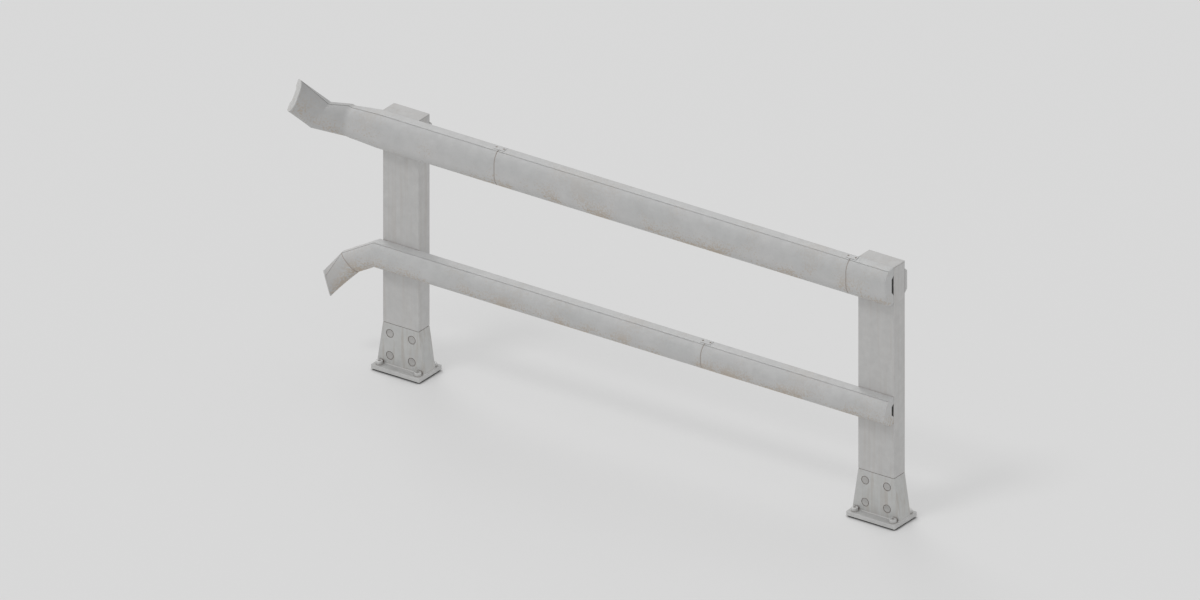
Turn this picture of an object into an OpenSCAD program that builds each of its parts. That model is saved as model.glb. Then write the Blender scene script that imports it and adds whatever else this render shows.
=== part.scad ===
// Tubular guard rail for a roadside or a bridge: two hollow formed rails on two box posts.
// X runs along the rails from the left post to the right one, the posts stand behind the rails at +Y,
// and Z is up. The origin lies on the ground under the middle of the left post.
// A rail's profile is written in two lengths: how far a point lies in front of the post's front face,
// and how far it lies below the rail's top edge.

/* [Layout] */
// Distance between the two posts, centre to centre
post_spacing = 2000; // [1600:50:3000]
// Height of the top edge of the upper rail and of the posts above the ground
upper_top = 991; // [900:1:1200]
// Height of the top edge of the lower rail above the ground
lower_top = 493; // [400:1:650]
// Distance from the left post to the first joint of the upper rail
upper_seam_left = 428.5; // [300:0.5:700]
// Distance from the last joint of the upper rail to the right post
upper_seam_right = 91; // [90:1:140]
// Distance from the left post to the joint of the lower rail
lower_seam = 1297; // [900:1:1400]
// Open gap at a joint between two lengths of rail
seam_gap = 3.5; // [1:0.5:8]

/* [Upper rail] */
// How far the upper rail stands out from the post
upper_reach = 52; // [46:1:60]
// Where the upper rail's front face starts, below its top edge
upper_face_start = 48; // [40:1:60]
// Where the upper rail's front face ends, below its top edge
upper_face_end = 90; // [80:1:100]
// Height of the rounded belly under the upper rail's front face
upper_belly_drop = 53; // [46:1:60]
// Height of the upper rail's flat back
upper_back_h = 136; // [130:1:140]
// Top of the upper rail's back channel at its mouth
upper_mouth_top = 31; // [27:1:34]
// Bottom of the upper rail's back channel at its mouth
upper_mouth_bottom = 107.5; // [102:0.5:112]
// Top of the upper rail's back channel at its floor
upper_floor_top = 44; // [38:1:46]
// Bottom of the upper rail's back channel at its floor
upper_floor_bottom = 93; // [90:1:99]

/* [Lower rail] */
// How far the lower rail stands out from the post
lower_reach = 52; // [46:1:60]
// Where the lower rail's front face starts, below its top edge
lower_face_start = 45; // [38:1:50]
// Where the lower rail's front face ends, below its top edge
lower_face_end = 61; // [54:1:68]
// Height of the rounded belly under the lower rail's front face
lower_belly_drop = 43; // [38:1:50]
// Height of the lower rail's flat back
lower_back_h = 98; // [92:1:101]
// Top of the lower rail's back channel at its mouth
lower_mouth_top = 25; // [22:1:27]
// Bottom of the lower rail's back channel at its mouth
lower_mouth_bottom = 75; // [72:1:79]
// Top of the lower rail's back channel at its floor
lower_floor_top = 34; // [30:1:36]
// Bottom of the lower rail's back channel at its floor
lower_floor_bottom = 66; // [64:1:70]

/* [Both rails] */
// Wall of the hollow rails
rail_wall = 5; // [3:0.5:6]
// Width of the nearly flat top, from the back to the edge in front
top_flat = 30; // [25:1:35]
// How much lower the top's front edge is than its back
top_fall = 5; // [3:0.5:9]
// Height of the lip along the top's front edge
edge_lip_h = 2.2; // [1.5:0.1:3]
// How far the rail is drawn in under that lip
edge_lip_undercut = 0.5; // [0.2:0.1:1]
// Forward radius of the shoulder between the top's edge and the front face
shoulder_r = 55; // [50:1:70]
// Forward radius of the belly
belly_r = 42; // [36:1:44]
// Depth of the channel in the back
channel_depth = 12; // [8:0.5:14]
// Thickness of the plates that close the rails' ends
end_cap_t = 4; // [2:0.5:8]
// Thickness of the joint plate where the lower rail's tip is fixed on
tip_joint_t = 3; // [1.5:0.5:6]
// How far the joint plate's rim lies inside the rail's surface
tip_joint_inset = 1.5; // [0.5:0.5:2]

/* [Bent upper end] */
// How far the end reaches past the left post's side
upper_end_past = 285; // [260:1:310]
// How far the end stands forward of the straight rail
upper_end_ahead = 95; // [75:1:115]
// How far the end rises above the straight rail
upper_end_rise = 74.5; // [55:0.5:95]
// How far the upward bend lies past the left post's side
upper_bend_past = 195.5; // [180:0.5:210]
// How far the upward bend stands forward of the straight rail
upper_bend_ahead = 33; // [25:1:40]
// How far the upward bend lies below the straight rail
upper_bend_drop = 12; // [6:1:18]
// How far the outer crease of the first bend lies past the left post's side
upper_fold_past = 120.5; // [112:0.5:130]
// How far that crease stands forward of the straight rail
upper_fold_ahead = 11; // [8:1:14]
// How far that crease lies below the straight rail
upper_fold_drop = 7; // [4:0.5:10]
// How far the inner crease of the first bend lies past the left post's side
upper_crease_past = 108.5; // [104:0.5:111]
// How far that crease stands forward of the straight rail
upper_crease_ahead = 8; // [5:1:10]
// How far that crease lies below the straight rail
upper_crease_drop = 11.5; // [8:0.5:14]

/* [Bent lower end] */
// How far the end reaches past the left post's side
lower_end_past = 216; // [200:0.5:230]
// How far the end stands forward of the straight rail
lower_end_ahead = 46; // [36:1:56]
// How far the end lies below the straight rail
lower_end_drop = 160; // [145:1:175]
// How far the joint of the tip lies past the left post's side
lower_joint_past = 168; // [158:1:178]
// How far the joint of the tip lies below the straight rail
lower_joint_drop = 91; // [82:1:100]
// How far the downward bend starts past the left post's side
lower_bend_past = 12; // [8:1:20]

/* [Rail joints] */
// Wall of the sleeve inside a joint
sleeve_wall = 4; // [2:0.5:6]
// How far a sleeve reaches from the joint
sleeve_reach = 75; // [40:1:90]
// How far the sleeve beside the right post reaches towards that post
sleeve_reach_short = 30; // [26:1:32]
// Distance from a joint to the screws beside it
splice_screw_offset = 15.5; // [12:0.5:18]
// Distance from the rail's back to the screws of a joint
splice_screw_back = 13; // [12:0.5:15]
// Head of the screws of a joint
splice_screw_head_d = 7.5; // [6:0.5:9]
// Height of the heads of those screws
splice_head_h = 1.2; // [0.8:0.1:1.5]
// Thread of the screws of a joint
splice_screw_d = 4; // [3:0.5:5]
// How far the strap on a joint's top reaches past the screws' centres
strap_end = 6; // [5:0.5:12]
// Width of that strap
strap_w = 22; // [18:1:22]
// Thickness of that strap
strap_t = 2; // [1.8:0.1:3]

/* [Posts] */
// Width of a post, along the rail
post_w = 150; // [134:1:180]
// Depth of a post, across the rail
post_d = 66; // [56:1:90]
// Wall of a post
post_wall = 6; // [5:0.5:8]
// Thickness of the plate on a post's top
post_cap_t = 4; // [3:0.5:8]
// Depth of the cap's lip inside the post
post_cap_lip = 8; // [4:1:14]
// Thickness of the block behind a post at the upper rail
back_block_t = 14.5; // [10:0.5:24]
// Top of that block below the post's top
back_block_top = 30.5; // [24:0.5:36]
// Height of that block at the post
back_block_h = 94.5; // [80:0.5:110]
// How much the block's sloping top and bottom take off its outer face
back_block_slope = 12; // [0:0.5:20]

/* [Feet] */
// Height of a shoe, from its base plate to the post
foot_h = 157; // [142:1:220]
// Width of a shoe where it meets its base plate
foot_w = 199; // [186:1:240]
// How far the inner spigot rises into the post
spigot_rise = 110; // [60:1:150]
// Wall of the inner spigot
spigot_wall = 8; // [5:0.5:10]
// Distance of a shoe's screws from its middle
foot_screw_x = 46; // [38:1:48]
// Height of the lower screws above the base plate
foot_screw_low = 35; // [24:1:60]
// Height of the upper screws above the base plate
foot_screw_high = 119.5; // [90:0.5:122]
// Width of the round recess for a shoe's screw
foot_recess_d = 32; // [30:0.5:38]
// Depth of the round recess for a shoe's screw
foot_recess_depth = 3.5; // [3:0.5:4]
// Open ring round the head of a shoe's screw in its recess
foot_head_gap = 2.5; // [0.5:0.1:3]
// How far that head lies below the shoe's surface
foot_head_below = 0.3; // [0:0.1:0.5]
// Rim round the dished face of that head
foot_dish_rim = 1.5; // [1:0.5:3]
// Depth of the dish in that head
foot_dish_depth = 2.2; // [1:0.1:2.4]
// Flat floor of that dish
foot_dish_floor_d = 8; // [4:1:12]
// Thread of a shoe's screw
foot_screw_d = 12; // [8:1:14]
// How much wider a base plate is than the shoe, on each side
plate_margin_x = 2.5; // [0:0.5:20]
// How much deeper a base plate is than the shoe, front and back
plate_margin_y = 35; // [34:1:60]
// Thickness of a base plate
plate_t = 16; // [10:1:30]
// Thickness of the bedding pad under a base plate
pad_t = 5; // [3:1:25]
// How far a bedding pad lies inside its base plate's edge
pad_inset = 17; // [8:1:24]
// Distance of the anchor bolts from the base plate's edges
anchor_inset = 21; // [16:1:21]
// Thread of an anchor bolt
anchor_d = 16; // [12:1:18]
// Head of an anchor bolt
anchor_head_d = 26; // [22:0.5:27]
// Height of an anchor bolt's head
anchor_head_h = 12.5; // [8:0.5:16]
// Chamfer round an anchor bolt's head
anchor_chamfer = 1.5; // [0.5:0.1:2]
// Width across the flats of the socket in an anchor bolt's head
anchor_socket = 10; // [8:1:14]
// Depth of that socket
anchor_socket_depth = 7.5; // [4:0.5:7.5]

/* [Rail bolts] */
// Distance between the two bolts that hold a rail to a post
rail_bolt_spacing = 80; // [70:1:84]
// Thread of a rail bolt
rail_bolt_d = 16; // [10:1:18]
// Width across the flats of a rail bolt's head
rail_bolt_head = 24; // [20:1:26]
// Height of a rail bolt's head
rail_bolt_head_h = 10; // [6:0.5:14]
// Thickness of the nut bar inside a rail
nut_bar_t = 10; // [6:1:12]
// Height of the nut bar inside a rail
nut_bar_h = 30; // [24:1:36]
// How far a nut bar reaches past its bolts' centres
bar_end = 15; // [12:1:16]
// How far a channel key stops short of its post's sides
key_end = 2; // [1:0.5:15]
// Outer width of the spacer tubes round the bolts inside a post
spacer_d = 26; // [22:1:27]

/* [Hidden] */

$fn = 48;

// Finishes
galvanised = [0.72, 0.72, 0.71];
galvanised_dark = [0.64, 0.64, 0.63];
bright_steel = [0.78, 0.79, 0.8];
pad_dark = [0.2, 0.2, 0.2];

// Clearances
slide_fit = 0.3;
thread_fit = 0.2;
bolt_fit = 0.5;
anchor_fit = 2;
sleeve_fit = 0.4;
beyond = 1;
// How far a screw or bolt comes out behind its thread
thread_end = 2;

// Places that follow from the sizes above
left_x = 0;
right_x = post_spacing;
rail_end = post_spacing + post_w / 2;
plate_bottom = pad_t;
plate_top = pad_t + plate_t;
foot_top = plate_top + foot_h;
post_top = upper_top - post_cap_t;
post_front = -post_d / 2;
post_back = post_d / 2;
pocket_w = post_w - 2 * post_wall;
pocket_d = post_d - 2 * post_wall;
plate_w = foot_w + 2 * plate_margin_x;
plate_d = post_d + 2 * plate_margin_y;
anchor_x = plate_w / 2 - anchor_inset;
anchor_y = plate_d / 2 - anchor_inset;
bar_w = rail_bolt_spacing + 2 * bar_end;
key_w = post_w - 2 * key_end;
post_side = -post_w / 2;
last_seam = post_spacing - upper_seam_right;
top_slope = atan(top_fall / top_flat);
strap_l = 2 * (splice_screw_offset + strap_end);
foot_screw_head_d = foot_recess_d - 2 * foot_head_gap;

// Rails as lists of sizes: reach, face start, face end, belly drop, back height, mouth, floor
UPPER = [
    upper_reach, upper_face_start, upper_face_end, upper_belly_drop, upper_back_h,
    [upper_mouth_top, upper_mouth_bottom], [upper_floor_top, upper_floor_bottom]
];
LOWER = [
    lower_reach, lower_face_start, lower_face_end, lower_belly_drop, lower_back_h,
    [lower_mouth_top, lower_mouth_bottom], [lower_floor_top, lower_floor_bottom]
];

// Stations of the bent ends, each a leaning plane that the profile is drawn in.
// The first vector places the profile's top back corner, from the post's middle and front face
// and from the rail's top; the second and third say where a millimetre forwards and downwards goes.
STRAIGHT = [[0, -1, 0], [0, 0, -1]];
UPPER_BEND = [
    [
        [post_side - upper_end_past, -upper_end_ahead, upper_end_rise],
        [0.789, -0.525, 0.318], [-0.151, -0.279, -0.794]
    ],
    [
        [post_side - upper_bend_past, -upper_bend_ahead, -upper_bend_drop],
        [0.381, -0.847, 0.28], [-0.434, -0.2, -0.72]
    ],
    [
        [post_side - upper_fold_past, -upper_fold_ahead, -upper_fold_drop],
        [-0.012, -0.893, 0.294], [-0.083, -0.036, -0.88]
    ],
    [
        [post_side - upper_crease_past, -upper_crease_ahead, -upper_crease_drop],
        [0.135, -0.898, 0.297], [-0.07, -0.044, -0.871]
    ],
    [[post_side, 0, 0], STRAIGHT[0], [-0.08, 0, -1]]
];
LOWER_TIP_END = [
    [post_side - lower_end_past, -lower_end_ahead, -lower_end_drop],
    [0.667, -0.716, -0.103], [0.056, 0.278, -0.913]
];
LOWER_TIP_START = [
    [post_side - lower_joint_past, 0, -lower_joint_drop],
    [0.29, -0.911, 0.301], [0.688, -0.016, -0.565]
];
LOWER_BEND_START = [[post_side - lower_bend_past, 0, 0], [-0.2, -1, 0], [-0.05, 0, -1]];

// Steps along an arc of the profile, and along the twist between two stations
arc_steps = 10;
twist_steps = 4;

// Part of an ellipse about a centre, with angles running from the front face downwards
function arc(centre, semi, from, to, steps = arc_steps) = [
    for (i = [0:steps])
        let (a = from + (to - from) * i / steps)
            [centre[0] + semi[0] * cos(a), centre[1] + semi[1] * sin(a)]
];

// Outline of a rail: flat top with its lip, shoulder, front face, belly, flat back with its channel.
// The plain form has no undercut below the lip, and serves for everything inside the rail. It has
// as many points, so that both forms can be joined by faces.
function outline(rail, plain = false) =
    let (
        centre = [rail[0] - shoulder_r, rail[1]],
        edge_turn = acos((top_flat - centre[0]) / shoulder_r),
        semi = [shoulder_r, (rail[1] - top_fall) / sin(edge_turn)],
        lip_turn = asin((rail[1] - top_fall - edge_lip_h) / semi[1]),
        edge = [top_flat, top_fall],
        lip = [edge, edge + [-edge_lip_undercut, edge_lip_h]],
        shoulder = plain
            ? arc(centre, semi, -edge_turn, 0, arc_steps + len(lip))
            : concat(lip, arc(centre, semi, -lip_turn, 0))
    )
    concat(
        [[0, 0]],
        shoulder,
        arc([rail[0] - belly_r, rail[2]], [belly_r, rail[3]], 0, 90),
        [[0, rail[4]], [0, rail[5][1]], [channel_depth, rail[6][1]],
            [channel_depth, rail[6][0]], [0, rail[5][0]]]
    );

// The same outline moved inwards by a wall, corner by corner
function unit(v) = v / norm(v);
function inward(a, b) = let (d = unit(b - a)) [-d[1], d[0]];
function inset(pts, wall) = [
    for (i = [0:len(pts) - 1])
        let (
            last = pts[(i + len(pts) - 1) % len(pts)],
            next = pts[(i + 1) % len(pts)],
            n0 = inward(last, pts[i]),
            n1 = inward(pts[i], next)
        )
        pts[i] + wall * (n0 + n1) / (1 + n0 * n1)
];

// The profile's points in the plane of a station, and a station part of the way to another
function ring(s, pts, top) = [
    for (p = pts) [0, post_front, top] + s[0] + p[0] * s[1] + p[1] * s[2]
];
function between(a, b, t) = [for (i = [0:2]) a[i] + t * (b[i] - a[i])];
function outward(s) = unit(cross(s[2], s[1]));
function shifted(s, by) = [s[0] + by * outward(s), s[1], s[2]];
function twisted(stations) = concat(
    [
        for (i = [0:len(stations) - 2])
            for (k = [0:twist_steps - 1])
                between(stations[i], stations[i + 1], k / twist_steps)
    ],
    [stations[len(stations) - 1]]
);

// Triangles that close an outline: fans from the two corners of the channel's floor
function lid() =
    let (
        top_points = 3,
        belly_start = top_points + arc_steps + 1,
        back_bottom = belly_start + arc_steps + 1,
        mouth_low = back_bottom + 1,
        floor_low = mouth_low + 1,
        floor_high = floor_low + 1,
        mouth_high = floor_high + 1
    )
    concat(
        [[floor_high, mouth_high, 0]],
        [for (j = [0:belly_start - 1]) [floor_high, j, j + 1]],
        [[floor_high, belly_start, floor_low]],
        [for (j = [belly_start:mouth_low - 1]) [floor_low, j, j + 1]]
    );

// Two triangles for a four-cornered face
function split(a, b, c, d) = [[a, b, c], [a, c, d]];

// Solid between the first and the last of a list of stations
module loft(stations, pts, top) {
    n = len(pts);
    last = (len(stations) - 1) * n;
    points = [for (s = stations) each ring(s, pts, top)];
    sides = [
        for (i = [0:len(stations) - 2])
            for (j = [0:n - 1])
                let (a = i * n + j, b = i * n + (j + 1) % n)
                    each split(a, a + n, b + n, b)
    ];
    start = lid();
    end = [for (t = lid()) [last + t[0], last + t[2], last + t[1]]];
    polyhedron(points, concat(sides, start, end));
}

// Hollow rail between the first and the last of a list of stations, open at both ends
module hollow_loft(stations, rail, top) {
    pts = outline(rail);
    inside = inset(outline(rail, plain = true), rail_wall);
    n = len(pts);
    rings = len(stations);
    inner = rings * n;
    last = (rings - 1) * n;
    points = concat(
        [for (s = stations) each ring(s, pts, top)],
        [for (s = stations) each ring(s, inside, top)]
    );
    walls = [
        for (i = [0:rings - 2])
            for (j = [0:n - 1])
                let (a = i * n + j, b = i * n + (j + 1) % n)
                    each concat(
                        split(a, a + n, b + n, b),
                        split(inner + a, inner + b, inner + b + n, inner + a + n)
                    )
    ];
    rims = [
        for (j = [0:n - 1])
            let (k = (j + 1) % n)
                each concat(
                    split(j, k, inner + k, inner + j),
                    split(last + j, inner + last + j, inner + last + k, last + k)
                )
    ];
    polyhedron(points, concat(walls, rims));
}

// Straight bar with a rail's outline, between two places along the rail
module bar(x0, x1, pts, top) {
    translate([x0, post_front, top])
        rotate([90, 0, 90])
            linear_extrude(x1 - x0)
                polygon([for (p = pts) [-p[0], -p[1]]]);
}

// Straight bar with another outline taken out of it
module hollow_bar(x0, x1, outside, inside, top) {
    difference() {
        bar(x0, x1, outside, top);
        bar(x0 - beyond, x1 + beyond, inside, top);
    }
}

// A box centred on X and Y, standing at a height
module box(x, z, size) {
    translate([x - size[0] / 2, -size[1] / 2, z])
        cube(size);
}

// Height of the rail bolts: the middle of the channel's floor
function bolt_z(rail, top) = top - (rail[6][0] + rail[6][1]) / 2;

// The two places of a post's rail bolts, looking along the bolts from behind
module at_rail_bolts(x, rail, top) {
    for (side = [-1, 1])
        translate([x + side * rail_bolt_spacing / 2, 0, bolt_z(rail, top)])
            rotate([90, 0, 0])
                children();
}

// Round hole along the rail bolts between two places across the rail
module rail_bolt_holes(x, rail, top, y0, y1, fit) {
    at_rail_bolts(x, rail, top)
        translate([0, 0, -y1])
            cylinder(d = rail_bolt_d + 2 * fit, h = y1 - y0);
}

// The screws beside a joint stand square on the sloping top
module at_splice_screws(x, top) {
    for (side = [-1, 1])
        translate([
            x + side * splice_screw_offset,
            post_front - splice_screw_back,
            top - splice_screw_back * top_fall / top_flat
        ])
            rotate([top_slope, 0, 0])
                children();
}

splice_screw_l = rail_wall + sleeve_fit + sleeve_wall + thread_end;

module splice_screw_holes(x, top) {
    at_splice_screws(x, top)
        translate([0, 0, -splice_screw_l - beyond])
            cylinder(d = splice_screw_d + 2 * thread_fit, h = splice_screw_l + strap_t + 2 * beyond);
}

// Length of rail with the holes for its joints and posts
module straight_rail(x0, x1, rail, top, seams, posts) {
    difference() {
        hollow_bar(x0, x1, outline(rail), inset(outline(rail, plain = true), rail_wall), top);
        for (x = seams)
            splice_screw_holes(x, top);
        for (x = posts)
            rail_bolt_holes(x, rail, top, post_front - channel_depth - rail_wall - beyond,
                post_front + beyond, bolt_fit);
    }
}

module splice(x, before, after, rail, top) {
    plain = outline(rail, plain = true);
    outside = rail_wall + sleeve_fit;
    color(galvanised_dark)
        difference() {
            hollow_bar(x - before, x + after, inset(plain, outside),
                inset(plain, outside + sleeve_wall), top);
            splice_screw_holes(x, top);
        }
}

// Strap on the sloping top, with a seat for the head of each screw
module joint_strap(x, top) {
    color(galvanised)
        difference() {
            translate([x, post_front - splice_screw_back, top - splice_screw_back * top_fall / top_flat])
                rotate([top_slope, 0, 0])
                    translate([-strap_l / 2, -strap_w / 2, 0])
                        cube([strap_l, strap_w, strap_t]);
            splice_screw_holes(x, top);
            at_splice_screws(x, top)
                translate([0, 0, strap_t - splice_head_h])
                    cylinder(d = splice_screw_head_d + 2 * thread_fit, h = splice_head_h + beyond);
        }
}

// Upper rail, in three lengths

module upper_rail_left() {
    joint = [[upper_seam_left - seam_gap / 2, 0, 0], STRAIGHT[0], STRAIGHT[1]];
    color(galvanised)
        difference() {
            hollow_loft(concat(twisted(UPPER_BEND), [joint]), UPPER, upper_top);
            splice_screw_holes(upper_seam_left, upper_top);
            rail_bolt_holes(left_x, UPPER, upper_top,
                post_front - channel_depth - rail_wall - beyond, post_front + beyond, bolt_fit);
        }
}

module upper_rail_middle() {
    color(galvanised)
        straight_rail(upper_seam_left + seam_gap / 2, last_seam - seam_gap / 2,
            UPPER, upper_top, [upper_seam_left, last_seam], []);
}

module upper_rail_right() {
    color(galvanised)
        straight_rail(last_seam + seam_gap / 2, rail_end - end_cap_t,
            UPPER, upper_top, [last_seam], [right_x]);
}

module upper_splice_left() {
    splice(upper_seam_left, sleeve_reach, sleeve_reach, UPPER, upper_top);
}

module upper_splice_right() {
    splice(last_seam, sleeve_reach, sleeve_reach_short, UPPER, upper_top);
}

module upper_end_cap_left() {
    end = UPPER_BEND[0];
    color(galvanised)
        loft([shifted(end, end_cap_t), end], outline(UPPER), upper_top);
}

module upper_end_cap_right() {
    color(galvanised)
        bar(rail_end - end_cap_t, rail_end, outline(UPPER), upper_top);
}

// Lower rail, in two lengths and a tip

module lower_rail_tip() {
    stations = twisted([LOWER_TIP_END, shifted(LOWER_TIP_START, tip_joint_t / 2)]);
    color(galvanised)
        hollow_loft(stations, LOWER, lower_top);
}

module lower_tip_joint() {
    stations = [
        shifted(LOWER_TIP_START, tip_joint_t / 2),
        shifted(LOWER_TIP_START, -tip_joint_t / 2)
    ];
    color(galvanised_dark)
        loft(stations, inset(outline(LOWER, plain = true), tip_joint_inset), lower_top);
}

module lower_rail_left() {
    bend = twisted([shifted(LOWER_TIP_START, -tip_joint_t / 2), LOWER_BEND_START]);
    joint = [[lower_seam - seam_gap / 2, 0, 0], STRAIGHT[0], STRAIGHT[1]];
    color(galvanised)
        difference() {
            hollow_loft(concat(bend, [joint]), LOWER, lower_top);
            splice_screw_holes(lower_seam, lower_top);
            rail_bolt_holes(left_x, LOWER, lower_top,
                post_front - channel_depth - rail_wall - beyond, post_front + beyond, bolt_fit);
        }
}

module lower_rail_right() {
    color(galvanised)
        straight_rail(lower_seam + seam_gap / 2, rail_end - end_cap_t,
            LOWER, lower_top, [lower_seam], [right_x]);
}

module lower_splice() {
    splice(lower_seam, sleeve_reach, sleeve_reach, LOWER, lower_top);
}

module lower_end_cap_left() {
    color(galvanised)
        loft([shifted(LOWER_TIP_END, end_cap_t), LOWER_TIP_END], outline(LOWER), lower_top);
}

module lower_end_cap_right() {
    color(galvanised)
        bar(rail_end - end_cap_t, rail_end, outline(LOWER), lower_top);
}

module splice_screw() {
    translate([0, 0, strap_t - splice_head_h])
        cylinder(d = splice_screw_head_d, h = splice_head_h);
    translate([0, 0, -splice_screw_l])
        cylinder(d = splice_screw_d, h = splice_screw_l + strap_t - splice_head_h);
}

module splice_screws() {
    color(bright_steel) {
        for (x = [upper_seam_left, last_seam])
            at_splice_screws(x, upper_top)
                splice_screw();
        at_splice_screws(lower_seam, lower_top)
            splice_screw();
    }
}

// Posts

module post(x) {
    color(galvanised)
        difference() {
            box(x, foot_top, [post_w, post_d, post_top - foot_top]);
            box(x, foot_top - beyond, [pocket_w, pocket_d, post_top - foot_top + 2 * beyond]);
            rail_bolt_holes(x, UPPER, upper_top, post_front - beyond, post_back + beyond, bolt_fit);
            rail_bolt_holes(x, LOWER, lower_top, post_front - beyond, post_back + beyond, bolt_fit);
        }
}

module post_cap(x) {
    lip_w = pocket_w - 2 * slide_fit;
    lip_d = pocket_d - 2 * slide_fit;
    color(galvanised)
        union() {
            box(x, post_top, [post_w, post_d, post_cap_t]);
            difference() {
                box(x, post_top - post_cap_lip, [lip_w, lip_d, post_cap_lip]);
                box(x, post_top - post_cap_lip - beyond,
                    [lip_w - 2 * post_cap_t, lip_d - 2 * post_cap_t, post_cap_lip + beyond]);
            }
        }
}

module back_block(x) {
    low = back_block_top + back_block_h;
    side = [
        [0, -back_block_top],
        [0, -low],
        [back_block_t, back_block_slope - low],
        [back_block_t, -back_block_top - back_block_slope]
    ];
    color(galvanised)
        difference() {
            translate([x - post_w / 2, post_back, upper_top])
                rotate([90, 0, 90])
                    linear_extrude(post_w)
                        polygon(side);
            rail_bolt_holes(x, UPPER, upper_top, post_back - beyond,
                post_back + back_block_t + beyond, bolt_fit);
        }
}

// Fixing of the rails: key in the channel, nut bar in the rail, spacers in the post, bolts

module rail_key(x, rail, top) {
    gap = slide_fit;
    side = [
        [0, -rail[5][0] - gap],
        [0, -rail[5][1] + gap],
        [-channel_depth, -rail[6][1] + gap],
        [-channel_depth, -rail[6][0] - gap]
    ];
    color(pad_dark)
        difference() {
            translate([x - key_w / 2, post_front, top])
                rotate([90, 0, 90])
                    linear_extrude(key_w)
                        polygon(side);
            rail_bolt_holes(x, rail, top, post_front - channel_depth - beyond,
                post_front + beyond, bolt_fit);
        }
}

module nut_bar(x, rail, top) {
    seat = post_front - channel_depth - rail_wall;
    color(galvanised_dark)
        difference() {
            translate([x - bar_w / 2, seat - nut_bar_t, bolt_z(rail, top) - nut_bar_h / 2])
                cube([bar_w, nut_bar_t, nut_bar_h]);
            rail_bolt_holes(x, rail, top, seat - nut_bar_t - beyond, seat + beyond, thread_fit);
        }
}

module rail_bolts(x, rail, top, seat) {
    tip = post_front - channel_depth - rail_wall - nut_bar_t - thread_end;
    color(bright_steel)
        at_rail_bolts(x, rail, top) {
            translate([0, 0, -seat - rail_bolt_head_h])
                cylinder(d = rail_bolt_head / cos(30), h = rail_bolt_head_h, $fn = 6);
            translate([0, 0, -seat])
                cylinder(d = rail_bolt_d, h = seat - tip);
        }
}

module spacer_tubes(x) {
    color(galvanised_dark)
        for (rail = [[UPPER, upper_top], [LOWER, lower_top]])
            at_rail_bolts(x, rail[0], rail[1])
                translate([0, 0, -pocket_d / 2])
                    difference() {
                        cylinder(d = spacer_d, h = pocket_d);
                        translate([0, 0, -beyond])
                            cylinder(d = rail_bolt_d + 2 * bolt_fit, h = pocket_d + 2 * beyond);
                    }
}

// Feet

foot_head_h = foot_recess_depth - foot_head_below;
foot_screw_l = post_wall - foot_recess_depth + slide_fit + spigot_wall + thread_end;

// The four screw places on a shoe's front face, looking along the screws from the front
module at_foot_screws(x) {
    for (side = [-1, 1], z = [foot_screw_low, foot_screw_high])
        translate([x + side * foot_screw_x, post_front, plate_top + z])
            rotate([-90, 0, 0])
                children();
}

module foot(x) {
    side = [
        [-foot_w / 2, 0], [foot_w / 2, 0],
        [post_w / 2, foot_h], [-post_w / 2, foot_h]
    ];
    color(galvanised)
        difference() {
            translate([x, post_back, plate_top])
                rotate([90, 0, 0])
                    linear_extrude(post_d)
                        polygon(side);
            box(x, plate_top - beyond, [pocket_w, pocket_d, foot_h + 2 * beyond]);
            at_foot_screws(x) {
                translate([0, 0, -beyond])
                    cylinder(d = foot_recess_d, h = foot_recess_depth + beyond);
                cylinder(d = foot_screw_d + 2 * bolt_fit, h = post_wall + beyond);
            }
        }
}

module foot_spigot(x) {
    out_w = pocket_w - 2 * slide_fit;
    out_d = pocket_d - 2 * slide_fit;
    rise = foot_h + spigot_rise;
    color(galvanised_dark)
        difference() {
            box(x, plate_top, [out_w, out_d, rise]);
            box(x, plate_top - beyond,
                [out_w - 2 * spigot_wall, out_d - 2 * spigot_wall, rise + 2 * beyond]);
            at_foot_screws(x)
                cylinder(d = foot_screw_d + 2 * thread_fit, h = post_d / 2);
        }
}

module foot_screws(x) {
    dish_d = foot_screw_head_d - 2 * foot_dish_rim;
    flare = (dish_d - foot_dish_floor_d) / foot_dish_depth * beyond;
    color(bright_steel)
        at_foot_screws(x)
            translate([0, 0, foot_recess_depth]) {
                difference() {
                    translate([0, 0, -foot_head_h])
                        cylinder(d = foot_screw_head_d, h = foot_head_h);
                    translate([0, 0, -foot_head_h - beyond])
                        cylinder(d1 = dish_d + flare, d2 = foot_dish_floor_d,
                            h = foot_dish_depth + beyond);
                }
                cylinder(d = foot_screw_d, h = foot_screw_l);
            }
}

module at_anchors(x, z) {
    for (sx = [-1, 1], sy = [-1, 1])
        translate([x + sx * anchor_x, sy * anchor_y, z])
            children();
}

module base_plate(x) {
    color(galvanised)
        difference() {
            box(x, plate_bottom, [plate_w, plate_d, plate_t]);
            at_anchors(x, plate_bottom - beyond)
                cylinder(d = anchor_d + 2 * anchor_fit, h = plate_t + 2 * beyond);
        }
}

module anchor_bolts(x) {
    head_top = plate_top + anchor_head_h;
    color(bright_steel)
        at_anchors(x, 0)
            difference() {
                union() {
                    cylinder(d = anchor_d, h = plate_top);
                    translate([0, 0, plate_top])
                        cylinder(d = anchor_head_d, h = anchor_head_h - anchor_chamfer);
                    translate([0, 0, head_top - anchor_chamfer])
                        cylinder(d1 = anchor_head_d, d2 = anchor_head_d - 2 * anchor_chamfer,
                            h = anchor_chamfer);
                }
                translate([0, 0, head_top - anchor_socket_depth])
                    cylinder(d = anchor_socket / cos(30), h = anchor_socket_depth + beyond, $fn = 6);
            }
}

module bedding_pad(x) {
    color(pad_dark)
        difference() {
            box(x, 0, [plate_w - 2 * pad_inset, plate_d - 2 * pad_inset, pad_t]);
            at_anchors(x, -beyond)
                cylinder(d = anchor_d + 4 * anchor_fit, h = pad_t + 2 * beyond);
        }
}

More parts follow.
